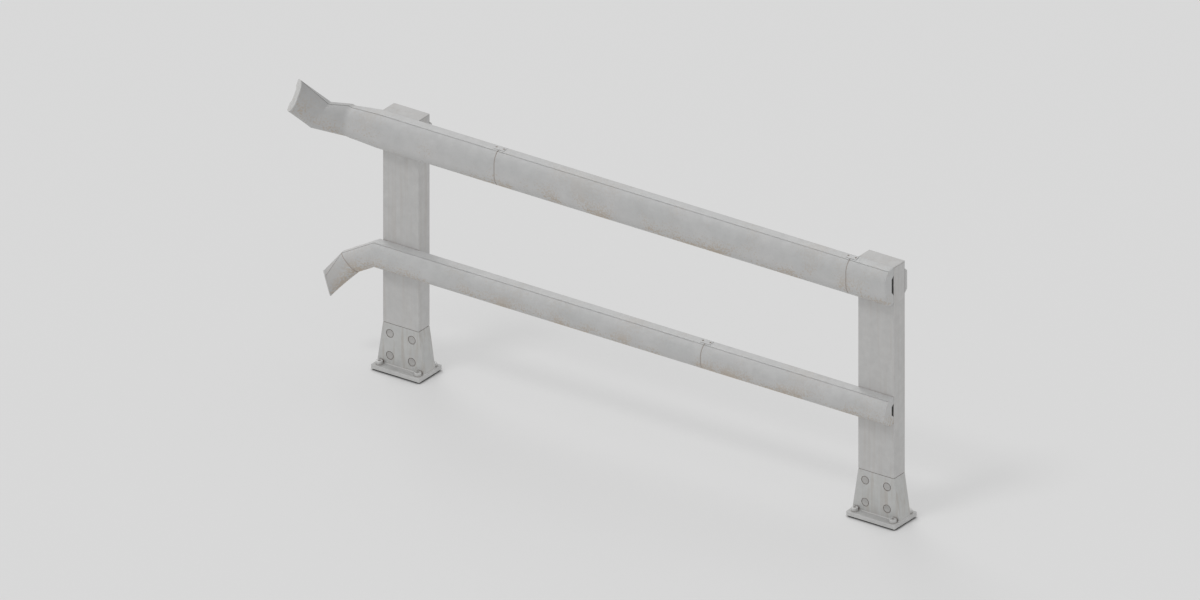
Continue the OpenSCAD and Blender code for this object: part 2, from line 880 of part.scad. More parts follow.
upper_rail_left();
upper_rail_middle();
upper_rail_right();
upper_splice_left();
upper_splice_right();
upper_end_cap_left();
upper_end_cap_right();
lower_rail_tip();
lower_tip_joint();
lower_rail_left();
lower_rail_right();
lower_splice();
lower_end_cap_left();
lower_end_cap_right();
splice_screws();
joint_strap(upper_seam_left, upper_top);  // joint_strap_upper_left
joint_strap(last_seam, upper_top);  // joint_strap_upper_right
joint_strap(lower_seam, lower_top);  // joint_strap_lower
post(left_x);  // post_left
post(right_x);  // post_right
post_cap(left_x);  // post_cap_left
post_cap(right_x);  // post_cap_right
back_block(left_x);  // back_block_left
back_block(right_x);  // back_block_right
rail_key(left_x, UPPER, upper_top);  // rail_key_upper_left
rail_key(right_x, UPPER, upper_top);  // rail_key_upper_right
rail_key(left_x, LOWER, lower_top);  // rail_key_lower_left
rail_key(right_x, LOWER, lower_top);  // rail_key_lower_right
nut_bar(left_x, UPPER, upper_top);  // nut_bar_upper_left
nut_bar(right_x, UPPER, upper_top);  // nut_bar_upper_right
nut_bar(left_x, LOWER, lower_top);  // nut_bar_lower_left
nut_bar(right_x, LOWER, lower_top);  // nut_bar_lower_right
rail_bolts(left_x, UPPER, upper_top, post_back + back_block_t);  // rail_bolts_upper_left
rail_bolts(right_x, UPPER, upper_top, post_back + back_block_t);  // rail_bolts_upper_right
rail_bolts(left_x, LOWER, lower_top, post_back);  // rail_bolts_lower_left
rail_bolts(right_x, LOWER, lower_top, post_back);  // rail_bolts_lower_right
spacer_tubes(left_x);  // spacer_tubes_left
spacer_tubes(right_x);  // spacer_tubes_right
foot(left_x);  // foot_left
foot(right_x);  // foot_right
foot_spigot(left_x);  // foot_spigot_left
foot_spigot(right_x);  // foot_spigot_right
foot_screws(left_x);  // foot_screws_left
foot_screws(right_x);  // foot_screws_right
base_plate(left_x);  // base_plate_left
base_plate(right_x);  // base_plate_right
anchor_bolts(left_x);  // anchor_bolts_left
anchor_bolts(right_x);  // anchor_bolts_right
bedding_pad(left_x);  // bedding_pad_left
bedding_pad(right_x);  // bedding_pad_right
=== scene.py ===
# %% [markdown]
# # A galvanised tubular guard rail
# The real object stands beside a road or on a bridge: two hollow rails, formed from steel, in front
# of two box posts on bolted feet. Its left ends are bent and twisted so that nothing catches on them.
# All of it was dipped in molten zinc, which has weathered to a matte grey.
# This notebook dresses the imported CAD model, which is the fixed frame. Every piece is built in metres
# in that frame, so it goes where the CAD solid is, and stands for it.

import math

import bmesh
import bpy
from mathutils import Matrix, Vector


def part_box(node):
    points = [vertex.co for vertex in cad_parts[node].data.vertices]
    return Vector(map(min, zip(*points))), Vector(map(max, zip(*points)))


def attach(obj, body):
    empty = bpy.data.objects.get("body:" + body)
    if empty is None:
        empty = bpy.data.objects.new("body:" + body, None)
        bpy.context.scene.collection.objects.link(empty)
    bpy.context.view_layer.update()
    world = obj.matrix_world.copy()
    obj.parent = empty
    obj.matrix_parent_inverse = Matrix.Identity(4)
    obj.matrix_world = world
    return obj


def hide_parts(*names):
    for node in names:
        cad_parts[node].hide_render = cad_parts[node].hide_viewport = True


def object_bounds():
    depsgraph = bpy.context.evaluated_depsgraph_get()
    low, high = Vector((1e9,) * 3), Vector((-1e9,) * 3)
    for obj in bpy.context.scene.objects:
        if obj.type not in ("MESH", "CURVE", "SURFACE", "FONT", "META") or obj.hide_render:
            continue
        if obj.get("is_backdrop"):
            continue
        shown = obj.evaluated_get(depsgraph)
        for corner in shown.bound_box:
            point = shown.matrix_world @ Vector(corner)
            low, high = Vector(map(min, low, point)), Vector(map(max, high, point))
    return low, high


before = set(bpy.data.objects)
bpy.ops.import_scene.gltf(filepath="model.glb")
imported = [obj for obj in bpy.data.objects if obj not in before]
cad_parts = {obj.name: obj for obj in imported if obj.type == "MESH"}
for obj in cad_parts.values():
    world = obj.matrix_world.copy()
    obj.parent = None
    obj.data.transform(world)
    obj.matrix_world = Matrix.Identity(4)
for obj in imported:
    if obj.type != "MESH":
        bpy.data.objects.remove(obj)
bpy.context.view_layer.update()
MM = 0.001
print("nodes in the frame:", len(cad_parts))

# %% [markdown]
# ## Camera
# The picture was taken from far away with a long lens: the rails keep their width from one end to the
# other and all lines along them are parallel. A parallel (orthographic) camera does the same. Its
# direction follows from the slopes of the edges: it stands 35 degrees round to the right of the
# rail's front and 26 degrees above the ground, and its frame is 4.13 m wide.

# %% Place the camera
CAMERA_AZIMUTH = math.radians(35.06)
CAMERA_ELEVATION = math.radians(26.11)
CAMERA_TARGET = Vector((0.8151, 0.0, 0.4978))
CAMERA_DISTANCE = 8.0
FRAME_WIDTH = 4.134

towards_camera = Vector((
    math.sin(CAMERA_AZIMUTH) * math.cos(CAMERA_ELEVATION),
    -math.cos(CAMERA_AZIMUTH) * math.cos(CAMERA_ELEVATION),
    math.sin(CAMERA_ELEVATION),
))
lens = bpy.data.cameras.new("camera")
lens.type = "ORTHO"
lens.ortho_scale = FRAME_WIDTH
lens.clip_end = 50
camera = bpy.data.objects.new("camera", lens)
camera.location = CAMERA_TARGET + towards_camera * CAMERA_DISTANCE
camera.rotation_euler = towards_camera.to_track_quat("Z", "Y").to_euler()
bpy.context.collection.objects.link(camera)
bpy.context.scene.camera = camera
bpy.context.scene.view_settings.view_transform = "Standard"
print("camera stands at", [round(v, 2) for v in camera.location])

# %% [markdown]
# ## Colours and nodes
# Colours are written as sRGB hex values, as a colour picker shows them, and one function turns them
# into the linear values that the shaders work with. One more small function adds a node, with its
# settings and its links, so that a material reads as a short list of what it is made of.

# %% Helpers for materials
def colour(hex_code):
    """A hex colour such as #b8b8b6 as linear RGB with alpha."""
    parts = [int(hex_code[i:i + 2], 16) / 255 for i in (1, 3, 5)]
    linear = [p / 12.92 if p <= 0.04045 else ((p + 0.055) / 1.055) ** 2.4 for p in parts]
    return (*linear, 1.0)


def add_node(tree, kind, links=None, **settings):
    """Adds a node. links maps an input to a value or to another node's output."""
    made = tree.nodes.new(kind)
    for name, value in settings.items():
        setattr(made, name, value)
    for name, value in (links or {}).items():
        if isinstance(value, bpy.types.NodeSocket):
            tree.links.new(value, made.inputs[name])
        else:
            made.inputs[name].default_value = value
    return made


def per_metre(size_mm):
    """The scale of a texture whose features are this many millimetres across."""
    return 1 / (size_mm * MM)


print("zinc grey in linear light:", [round(c, 3) for c in colour("#b8b8b6")])

# %% [markdown]
# ## Weathered zinc
# Hot-dip galvanised steel comes out of its bath bright, with a pattern of flat crystals, and dulls
# within a year as the zinc turns to a thin grey carbonate. What the eye sees is a nearly matte metal:
# broad cloudy patches, a mottling about 34 mm across, crystals of about 14 mm that differ by a few
# percent, and a fine grain. Zinc is a metal, so the shader stays partly metallic with its default IOR,
# but the carbonate scatters light, so the roughness is high.
#
# A photograph of zinc could be wrapped round the pieces, but each would have to be unwrapped, and the
# picture would repeat. Patterns made from noise need no unwrapping, go round every corner, and take
# their sizes in real millimetres. The helpers below make the short steps that all finishes share.

# %% Helpers for patterns
def noise(tree, place, size_mm, detail, roughness=0.5):
    """A number that wanders between 0 and 1, in blotches about this wide."""
    return add_node(tree, "ShaderNodeTexNoise", {
        "Vector": place, "Scale": per_metre(size_mm), "Detail": detail, "Roughness": roughness,
    }).outputs["Fac"]


def spread(tree, value, low, high, to_low=0.0, to_high=1.0):
    """The value stretched from one range to another, and held at its ends."""
    return add_node(tree, "ShaderNodeMapRange", {
        "Value": value, "From Min": low, "From Max": high, "To Min": to_low, "To Max": to_high,
    }).outputs["Result"]


def blend(tree, share, first, second, **settings):
    """A blend of two colours; share is how much of the second one shows."""
    return add_node(tree, "ShaderNodeMix", {0: share, 6: first, 7: second},
                    data_type="RGBA", **settings).outputs[2]


def new_material(name):
    """An empty material, its node tree, and the place on the object in metres."""
    material = bpy.data.materials.new(name)
    material.use_nodes = True
    tree = material.node_tree
    tree.nodes.clear()
    return material, tree, add_node(tree, "ShaderNodeTexCoord").outputs["Object"]


def finish_with(tree, base, metallic, roughness, grain, relief, depth_mm):
    """Joins colour, gloss and a fine relief to the material's shader."""
    bump = add_node(tree, "ShaderNodeBump", {
        "Height": grain, "Strength": relief, "Distance": depth_mm * MM,
    })
    shader = add_node(tree, "ShaderNodeBsdfPrincipled", {
        "Base Color": base, "Metallic": metallic, "Roughness": roughness,
        "Normal": bump.outputs["Normal"],
    })
    add_node(tree, "ShaderNodeOutputMaterial", {"Surface": shader.outputs["BSDF"]})


print("a pattern of 14 mm has the scale", round(per_metre(14), 1))

# %% [markdown]
# ## What age adds, and painted shade
# Age adds three things, and painted shade comes with them. Low on the rails' bellies, where water
# hangs and dries, there is a warm film with light brown specks. On the posts and shoes, water has
# left faint upright streaks with some brown marks. In narrow gaps, such as the ring round a shoe's
# screw, dirt collects, and a brown-grey painted shade darkens the same gaps. The bent ends get a grey
# painted shade where they turn away from the lamps, and the faces that look straight up, on the base
# plates, caps and blocks, turn a grey that is partly dust and partly painted shade.
#
# The film, the specks and the bent ends' painted shade follow two attributes that are painted on the
# rails' meshes. One says how low a point lies on the rail's outline. It turns with the rail in the
# bends, which a height above the ground would not. The other says how much painted shade lies there.
# The dirt and painted shade in gaps follow ambient occlusion, which measures how closed in a place
# is, so they find every gap by themselves.

# %% What age adds, and painted shade
# grey of the painted shade on the bent ends, and of the dust and painted shade on level faces
DUST_AND_SHADE_GREY = "#8f8f8e"
GAP_REACH_MM = 7
CLOUD_MM = 120
SPECK_MM = 7
FAINTEST_SOIL = 0.08


def stained(tree, streaks, clean, amount):
    """Brown-grey water marks in the strongest of the upright streaks."""
    return blend(tree, spread(tree, streaks, 0.5, 0.7, 0.0, amount), clean, colour("#aca297"))


def dust_and_shade_on_level_faces(tree, clean, amount):
    """Grey on the faces that look straight up: partly dust, partly painted shade."""
    facing = add_node(tree, "ShaderNodeNewGeometry").outputs["Normal"]
    upward = add_node(tree, "ShaderNodeSeparateXYZ", {"Vector": facing}).outputs["Z"]
    # painted shade and dust: faces that look up turn greyer
    return blend(tree, spread(tree, upward, 0.8, 0.99, 0.0, amount), clean, colour(DUST_AND_SHADE_GREY))


def gap_dirt_and_shade(tree, clean, amount):
    """Brown dirt and painted shade where a surface is shut in by its neighbours within a few
    millimetres.
    """
    shut = add_node(tree, "ShaderNodeAmbientOcclusion", {"Distance": GAP_REACH_MM * MM}, samples=12)
    # painted shade and dirt: where ambient occlusion finds a gap, the colour turns darker and brown
    share = spread(tree, shut.outputs["AO"], 0.35, 0.85, amount, 0.0)
    return blend(tree, share, clean, colour("#7c685d"))


def soiled(tree, place, clean, amount):
    """Brown specks and a warm film towards the bottom of a rail's outline, and the bent ends' painted
    shade.
    """
    low = add_node(tree, "ShaderNodeAttribute", attribute_name="lowness").outputs["Fac"]
    reach = spread(tree, low, 0.4, 1.0, FAINTEST_SOIL, amount)
    film = blend(tree, reach, clean, colour("#c6c5c3"))
    # painted shade: grey where the bent ends turn away from the lamps, read from a painted attribute
    bend_shade = add_node(tree, "ShaderNodeAttribute", attribute_name="bend_shade").outputs["Fac"]
    with_bend_shade = blend(tree, bend_shade, film, colour(DUST_AND_SHADE_GREY))
    both = add_node(tree, "ShaderNodeMath", {
        0: noise(tree, place, CLOUD_MM, 1.0), 1: noise(tree, place, SPECK_MM, 1.0),
    }, operation="ADD")
    where = spread(tree, both.outputs[0], 1.06, 1.19, 0.0, 1.1)
    share = add_node(tree, "ShaderNodeMath", {0: where, 1: reach}, operation="MULTIPLY")
    return blend(tree, share.outputs[0], with_bend_shade, colour("#b29a79"))


print("specks of", SPECK_MM, "mm lie in clouds of", CLOUD_MM, "mm")

# %% [markdown]
# ## The zinc of each piece
# The pieces came out of one kind of bath, but each has led its own life: the posts have streaks, the
# plates carry dust and painted shade on their tops, and the left end plates are painted lighter, a
# painted highlight for the light their faces catch. So there is one recipe, and each piece gives it a
# few numbers of its own. Separate materials could be built by hand, but then a change to the zinc
# would have to be made in all of them.

# %% Make the zinc finishes
CRYSTAL_MM = 14
CRYSTAL_LEVELS = (0.98, 1.02)
MOTTLING_MM = 34
MOTTLING_LEVELS = (0.96, 1.02)
GRAIN_MM = 2.5
NOISE_SPAN = (0.3, 0.7)
ZINC_METALLIC = 0.25
ZINC_ROUGHNESS = (0.6, 0.72)


def zinc(name, light, dark, patch_mm, streak_mm=None, stain=0.0, soil=0.0, dirt_and_shade=0.9, top_dust_and_shade=0.0):
    """Weathered zinc: cloudy patches, crystals, grain, what age has added, and painted shade in gaps.
    """
    material, tree, place = new_material(name)
    patches = noise(tree, place, patch_mm, 4.0, 0.55)
    tone = spread(tree, patches, *NOISE_SPAN)
    if streak_mm:
        across, along = (per_metre(size) for size in streak_mm)
        stretched = add_node(tree, "ShaderNodeMapping", {
            "Vector": place, "Scale": (across, across, along),
        })
        streaks = add_node(tree, "ShaderNodeTexNoise", {
            "Vector": stretched.outputs["Vector"], "Scale": 1.0, "Detail": 3.0, "Roughness": 0.5,
        }).outputs["Fac"]
        tone = add_node(tree, "ShaderNodeMix", {0: 0.5, 2: tone, 3: streaks}).outputs[0]
    crystals = add_node(tree, "ShaderNodeTexVoronoi", {
        "Vector": place, "Scale": per_metre(CRYSTAL_MM), "Randomness": 1.0,
    }).outputs["Color"]
    mottling = noise(tree, place, MOTTLING_MM, 3.0, 0.6)
    finished = blend(tree, tone, colour(dark), colour(light))
    for level in (spread(tree, crystals, 0.0, 1.0, *CRYSTAL_LEVELS),
                  spread(tree, mottling, 0.35, 0.65, *MOTTLING_LEVELS)):
        finished = blend(tree, 1.0, finished, level, blend_type="MULTIPLY")
    if streak_mm:
        finished = stained(tree, streaks, finished, stain)
    if soil:
        finished = soiled(tree, place, finished, soil)
    if top_dust_and_shade:
        finished = dust_and_shade_on_level_faces(tree, finished, top_dust_and_shade)
    finished = gap_dirt_and_shade(tree, finished, dirt_and_shade)
    roughness = spread(tree, patches, *NOISE_SPAN, *ZINC_ROUGHNESS)
    grain = noise(tree, place, GRAIN_MM, 3.0, 0.6)
    finish_with(tree, finished, ZINC_METALLIC, roughness, grain, relief=0.12, depth_mm=0.4)
    return material


rail_zinc = zinc("weathered_zinc_rail", "#cccccc", "#c5c6c6", 160, soil=0.5, dirt_and_shade=0.05)
post_zinc = zinc("weathered_zinc_post", "#cdcccb", "#c5c5c4", 90, streak_mm=(16, 420), stain=0.2,
                 dirt_and_shade=0.65, top_dust_and_shade=0.07)
foot_zinc = zinc("weathered_zinc_foot", "#ccccca", "#c4c5c4", 60, streak_mm=(12, 160), stain=0.36,
                 dirt_and_shade=0.65)
screw_zinc = zinc("weathered_zinc_screw", "#bfbebc", "#b5b4b2", 60, dirt_and_shade=0.65)
plate_zinc = zinc("weathered_zinc_plate", "#cfcfce", "#c7c7c6", 60, dirt_and_shade=0.3, top_dust_and_shade=0.19)
# painted highlight: the left end plates are lighter, standing in for the light their faces catch
painted_lit_end_zinc = zinc("end_zinc_with_painted_highlight", "#dcdcdb", "#d4d4d3", 160, soil=0.3, dirt_and_shade=0.05)
inner_zinc = zinc("dull_zinc_inside", "#8f8f8d", "#858583", 60)
print("zinc finishes:", rail_zinc.name, post_zinc.name, foot_zinc.name, inner_zinc.name)

# %% [markdown]
# ## Plated bolts, rubber and sealant
# The bolts are electroplated, with a thinner and smoother zinc than the dipped steel, so they are a
# little brighter and glossier. The pads under the feet and the keys in the rails' channels are dark
# rubber, whose surface comes from a coarse mould; in the keys its darkness also paints the shade in
# the slot at each rail's end. The gaps between two lengths of rail hold sealant and old dust, a dry
# brown-grey that is a little darker than the metal. On such small pieces the eye sees a grain and
# nothing larger, so one noise is enough, and it drives the colour, the gloss and the relief together.

# %% Make the small finishes
GLOSS_SPREAD = 0.08


def plain_finish(name, light, dark, grain_mm, metallic, roughness, relief, dirt_and_shade=0.0):
    """A finish with one fine grain in its colour, its roughness and its relief."""
    material, tree, place = new_material(name)
    grain = noise(tree, place, grain_mm, 4.0, 0.6)
    tint = blend(tree, grain, colour(dark), colour(light))
    # painted shade and dirt in narrow gaps, as on the zinc
    if dirt_and_shade:
        tint = gap_dirt_and_shade(tree, tint, dirt_and_shade)
    gloss = spread(tree, grain, 0.0, 1.0, roughness - GLOSS_SPREAD, roughness + GLOSS_SPREAD)
    finish_with(tree, tint, metallic, gloss, grain, relief, depth_mm=0.3)
    return material


plated = plain_finish("plated_zinc_fastener", "#d6d6d5", "#c8c8c7", 4, 0.4, 0.5, 0.1, dirt_and_shade=0.6)
# dark rubber; in the rails' keys its darkness also paints the shade of the slot at each rail end
rubber_and_slot_shade = plain_finish("moulded_rubber_and_slot_shade", "#343332", "#292827", 3, 0.0, 0.8, 0.3)
grime = plain_finish("old_dust_in_a_joint", "#b0a8a2", "#a09892", 5, 0.0, 0.9, 0.2)
print("small finishes:", plated.name, rubber_and_slot_shade.name, grime.name)

# %% [markdown]
# ## Meshes from rings
# Almost every piece here is a shape that runs along a path: a rail, a box post, a tapered shoe, a
# turned bolt head. Each is built from rings, closed loops of points with the same count, joined by
# four-sided faces. A solid piece gets a face over its first and last ring. A hollow one has an inner
# ring for each outer one, and a rim at each end, so that it is a closed body with a real wall.
# Blender's curves can sweep an outline too, but they choose its planes themselves, and here the
# planes have to lean where the real rail was mitred.

# %% Helpers for meshes
SHARP_ANGLE = math.radians(24)


def band(first, second, count):
    """Faces between two rings, given the index of each ring's first point."""
    return [
        (first + j, first + (j + 1) % count, second + (j + 1) % count, second + j)
        for j in range(count)
    ]


def solid(rings):
    """Points and faces of a closed body through these rings."""
    count = len(rings[0])
    points = [p for ring in rings for p in ring]
    faces = [f for i in range(len(rings) - 1) for f in band(i * count, (i + 1) * count, count)]
    last = (len(rings) - 1) * count
    faces.append(tuple(reversed(range(count))))
    faces.append(tuple(range(last, last + count)))
    return points, faces


def hollow(outer, inner):
    """Points and faces of an open tube with a wall between its outer and inner rings."""
    count = len(outer[0])
    start = len(outer) * count
    points = [p for ring in outer + inner for p in ring]
    faces = []
    for i in range(len(outer) - 1):
        faces += band(i * count, (i + 1) * count, count)
        faces += [tuple(reversed(f)) for f in
                  band(start + i * count, start + (i + 1) * count, count)]
    last = start - count
    faces += band(start, 0, count)
    faces += band(last, start + last, count)
    return points, faces


def closed_mesh(name, bodies):
    """One mesh of all these bodies, with every face turned outwards."""
    points, faces = [], []
    for body_points, body_faces in bodies:
        base = len(points)
        points += body_points
        faces += [tuple(base + i for i in f) for f in body_faces]
    mesh = bpy.data.meshes.new(name)
    mesh.from_pydata([tuple(p) for p in points], [], faces)
    loose = bmesh.new()
    loose.from_mesh(mesh)
    bmesh.ops.recalc_face_normals(loose, faces=loose.faces)
    loose.to_mesh(mesh)
    loose.free()
    return mesh


def smooth(mesh):
    """Smooth shading, but for the edges sharper than the angle above."""
    mesh.shade_smooth()
    mesh.set_sharp_from_angle(angle=SHARP_ANGLE)


def paint(mesh, name, values):
    """Writes one number per point of the mesh, for its material to read."""
    for item, value in zip(mesh.attributes.new(name, "FLOAT", "POINT").data, values):
        item.value = value


def piece(node, bodies, material, lowness=None, bend_shade=None):
    """One object made of these bodies, standing for a CAD node and riding on the frame."""
    name = node + "_dressed"
    mesh = closed_mesh(name, bodies)
    if lowness:
        paint(mesh, "lowness", lowness)
    # how much painted shade lies on each point
    if bend_shade:
        paint(mesh, "bend_shade", bend_shade)
    smooth(mesh)
    mesh.materials.append(material)
    made = bpy.data.objects.new(name, mesh)
    bpy.context.collection.objects.link(made)
    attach(made, "root")
    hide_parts(node)
    return made


print("edges sharper than", round(math.degrees(SHARP_ANGLE)), "degrees stay crisp")

# %% [markdown]
# ## The rails' outline
# Both rails have the same kind of section: a nearly flat top, a crisp lip at its front edge, a
# shoulder that curves down to an upright front face, a round belly, and a flat back with a channel
# that bolts slide in. The round stretches are parts of ellipses. The lip is a fold of the steel: it
# stands 2 mm above the shoulder, and its shadow draws the fine dark line along the whole rail.
# The outline is written as pairs: how far forward of the post, and how far below the top edge.
# It could be traced by hand. Drawn from a few radii it stays smooth, and the end plates, the sleeves
# and the sealant are the same outline moved inwards.

# %% Draw the outline
ARC_STEPS = 18
TOP_FLAT = 30
TOP_FALL = 5
SHOULDER_R = 55
BELLY_R = 42
CHANNEL_DEPTH = 12
RAIL_WALL = 5
LIP_DROP = 2.2
LIP_UNDERCUT = 0.5
CORNER_R = 0.7

UPPER = {
    "reach": 52, "face": (48, 90), "belly": 53, "back": 136,
    "mouth": (31, 107.5), "floor": (44, 93),
}
LOWER = {
    "reach": 52, "face": (45, 61), "belly": 43, "back": 98,
    "mouth": (25, 75), "floor": (34, 66),
}


def ellipse(centre, semi, start, stop, steps=ARC_STEPS):
    """Points on part of an ellipse; angles run from straight ahead downwards."""
    turns = [start + (stop - start) * i / steps for i in range(steps + 1)]
    return [Vector((centre[0] + semi[0] * math.cos(t), centre[1] + semi[1] * math.sin(t)))
            for t in turns]


def outline(rail, lip=True):
    """A rail's outline, and the numbers of its corners that get a small radius."""
    face_top, face_bottom = rail["face"]
    centre = (rail["reach"] - SHOULDER_R, face_top)
    edge_turn = math.acos((TOP_FLAT - centre[0]) / SHOULDER_R)
    semi = (SHOULDER_R, (face_top - TOP_FALL) / math.sin(edge_turn))
    if lip:
        lip_turn = math.asin((face_top - TOP_FALL - LIP_DROP) / semi[1])
        edge = Vector((TOP_FLAT, TOP_FALL))
        shoulder = [edge, edge + Vector((-LIP_UNDERCUT, LIP_DROP))]
        shoulder += ellipse(centre, semi, -lip_turn, 0)
    else:
        shoulder = ellipse(centre, semi, -edge_turn, 0, ARC_STEPS + 2)
    belly = ellipse((rail["reach"] - BELLY_R, face_bottom), (BELLY_R, rail["belly"]),
                    0, math.pi / 2)
    back = [
        Vector((0, rail["back"])), Vector((0, rail["mouth"][1])),
        Vector((CHANNEL_DEPTH, rail["floor"][1])), Vector((CHANNEL_DEPTH, rail["floor"][0])),
        Vector((0, rail["mouth"][0])),
    ]
    points = [Vector((0, 0)), *shoulder, *belly, *back]
    eased = [0, *range(len(points) - len(back), len(points))]
    return points, eased


def inward(points, wall):
    """The outline moved inwards by the wall, corner by corner."""
    moved = []
    for i, p in enumerate(points):
        before = (p - points[i - 1]).normalized()
        after = (points[(i + 1) % len(points)] - p).normalized()
        n0, n1 = Vector((-before.y, before.x)), Vector((-after.y, after.x))
        moved.append(p + wall * (n0 + n1) / (1 + n0.dot(n1)))
    return moved


def ease(points, corners, radius):
    """Each named corner becomes three points on a small curve."""
    made = []
    for i, p in enumerate(points):
        if i not in corners:
            made.append(p)
            continue
        before = p + (points[i - 1] - p).normalized() * radius
        after = p + (points[(i + 1) % len(points)] - p).normalized() * radius
        made += [before, (before + 2 * p + after) / 4, after]
    return made


def rail_outlines(rail, inset=0.0, wall=RAIL_WALL):
    """Outer and inner outline of a rail, or of a sleeve that lies inset in it."""
    with_lip, corners = outline(rail, lip=not inset)
    plain, _ = outline(rail, lip=False)
    outer = inward(plain, inset) if inset else with_lip
    return ease(outer, corners, CORNER_R), ease(inward(plain, inset + wall), corners, CORNER_R)


print("points round a rail:", len(rail_outlines(UPPER)[0]))

# %% [markdown]
# ## Bending and twisting the rails
# A station is a plane that the outline is drawn in: a place for the outline's top back corner, and
# two vectors that say where one millimetre forward and one millimetre down the outline go. Along the
# straight rail they are simply forward and down. At the bent ends the stations lean and turn, as the
# mitres of the real rail do, and the tube runs straight from one to the next. The steps in between
# keep its twisted sides smooth. A curve modifier would bend the tube evenly, and these bends are sharp.

# %% Stations of the rails
FORWARD, DOWN = Vector((0, -1, 0)), Vector((0, 0, -1))
TWIST_STEPS = 8


def station(place, forward=FORWARD, down=DOWN):
    """A plane to draw the outline in: its corner, and the steps forward and down."""
    return Vector(place), Vector(forward), Vector(down)


POST_SIDE = -75
UPPER_END = station((POST_SIDE - 285, -95, 74.5), (0.789, -0.525, 0.318), (-0.151, -0.279, -0.794))
UPPER_BEND = [
    UPPER_END,
    station((POST_SIDE - 195.5, -33, -12), (0.381, -0.847, 0.28), (-0.434, -0.2, -0.72)),
    station((POST_SIDE - 120.5, -11, -7), (-0.012, -0.893, 0.294), (-0.083, -0.036, -0.88)),
    station((POST_SIDE - 108.5, -8, -11.5), (0.135, -0.898, 0.297), (-0.07, -0.044, -0.871)),
    station((POST_SIDE, 0, 0), down=(-0.08, 0, -1)),
]
LOWER_END = station((POST_SIDE - 216, -46, -160), (0.667, -0.716, -0.103),
                    (0.056, 0.278, -0.913))
LOWER_JOINT = station((POST_SIDE - 168, 0, -91), (0.29, -0.911, 0.301), (0.688, -0.016, -0.565))
LOWER_BEND = station((POST_SIDE - 12, 0, 0), (-0.2, -1, 0), (-0.05, 0, -1))


def shifted(s, along):
    """The station moved square to its own plane, towards the rail's end."""
    return s[0] + s[2].cross(s[1]).normalized() * along, s[1], s[2]


def twisted(stations):
    """The stations with steps between them."""
    made = []
    for a, b in zip(stations, stations[1:]):
        for k in range(TWIST_STEPS):
            t = k / TWIST_STEPS
            made.append(tuple(a[i].lerp(b[i], t) for i in range(3)))
    return made + [stations[-1]]


post_low, post_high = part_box("post_left")
upper_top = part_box("upper_rail_middle")[1].z
lower_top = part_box("lower_rail_right")[1].z


def rings(stations, points, top):
    """The outline drawn in every station, in metres."""
    base = Vector((0, post_low.y, top))
    return [[base + (s[0] + s[1] * p.x + s[2] * p.y) * MM for p in points] for s in stations]


print("bent stations: upper", len(UPPER_BEND), "lower", 3)

# %% [markdown]
# ## Lengths of rail
# The upper rail comes in three lengths and the lower one in two and a tip, with open joints of a few
# millimetres between them. Each length is a hollow body whose ends are eased by half a millimetre,
# as a filed edge is. The places of the joints come from the boxes of the CAD lengths. One long body
# could be cut with booleans, but lengths built one by one keep clean faces at their joints.

# %% Build the lengths of rail
EDGE_EASE = 0.5
CREASED_STATIONS = (2, 3)
# painted shade on the bent ends, station by station, where they face away from the lamps; less on the
# belly
UPPER_BEND_SHADE = (0.48, 0.36, 0.36, 0.0, 0.0)
TIP_BEND_SHADE = (0.3, 0.1)
BELLY_SHADE_CUT = 0.6
BACK_SHARE = 0.72
JOINT_PLATE = 3


def straight(x):
    """A plane square to the rail at this x, given in metres."""
    return station((x / MM, 0, 0))


def how_low(points, rail):
    """How low each point of the outline lies, from 0 to 1; the back stays cleaner than the belly."""
    return [p.y / rail["back"] * (1 if p.x > CORNER_R else BACK_SHARE) for p in points]


def crease(made, rings_at, count):
    """Makes the edges of these rings crisp, as the folds of a mitred tube are."""
    for edge in made.data.edges:
        a, b = (v // count for v in edge.vertices)
        if a == b and a in rings_at:
            edge.use_edge_sharp = True


def rail_length(node, stations, rail, top, material=rail_zinc, inset=0.0, wall=RAIL_WALL,
                bend_shade_along=(), extra=()):
    """One hollow length of rail, with both ends eased; painted shade may lie on its first stations."""
    outer, inner = rail_outlines(rail, inset, wall)
    filed = inward(outer, EDGE_EASE)
    first, last = stations[0], stations[-1]
    second, before_last = shifted(first, -EDGE_EASE), shifted(last, EDGE_EASE)
    outer_rings = (
        rings([first], filed, top)
        + rings([second] + stations[1:-1] + [before_last], outer, top)
        + rings([last], filed, top)
    )
    inner_rings = rings([first, second] + stations[1:-1] + [before_last, last], inner, top)
    low = how_low(outer, rail)
    lowness = low * len(outer_rings) + [0.0] * (len(inner) * len(inner_rings))
    # the painted shade of each ring, thinner towards the belly
    amounts = [*bend_shade_along, *[0.0] * len(outer_rings)][:len(outer_rings)]
    bend_shade = [amount * (1 - BELLY_SHADE_CUT * share) for amount in amounts for share in low]
    bend_shade += [0.0] * (len(lowness) - len(bend_shade))
    return piece(node, [hollow(outer_rings, inner_rings), *extra], material, lowness, bend_shade)


def fading(amounts, steps=TWIST_STEPS):
    """The amount at each ring between stations, given the amount at each station."""
    made = [amounts[0]]
    for a, b in zip(amounts, amounts[1:]):
        made += [a + (b - a) * k / steps for k in range(steps)]
    return made


def node_ends(node):
    """Where a CAD node starts and ends along the rail."""
    low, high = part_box(node)
    return low.x, high.x


upper_gap = (node_ends("upper_rail_left")[1], node_ends("upper_rail_middle")[0])
upper_gap_right = (node_ends("upper_rail_middle")[1], node_ends("upper_rail_right")[0])
lower_gap = (node_ends("lower_rail_left")[1], node_ends("lower_rail_right")[0])

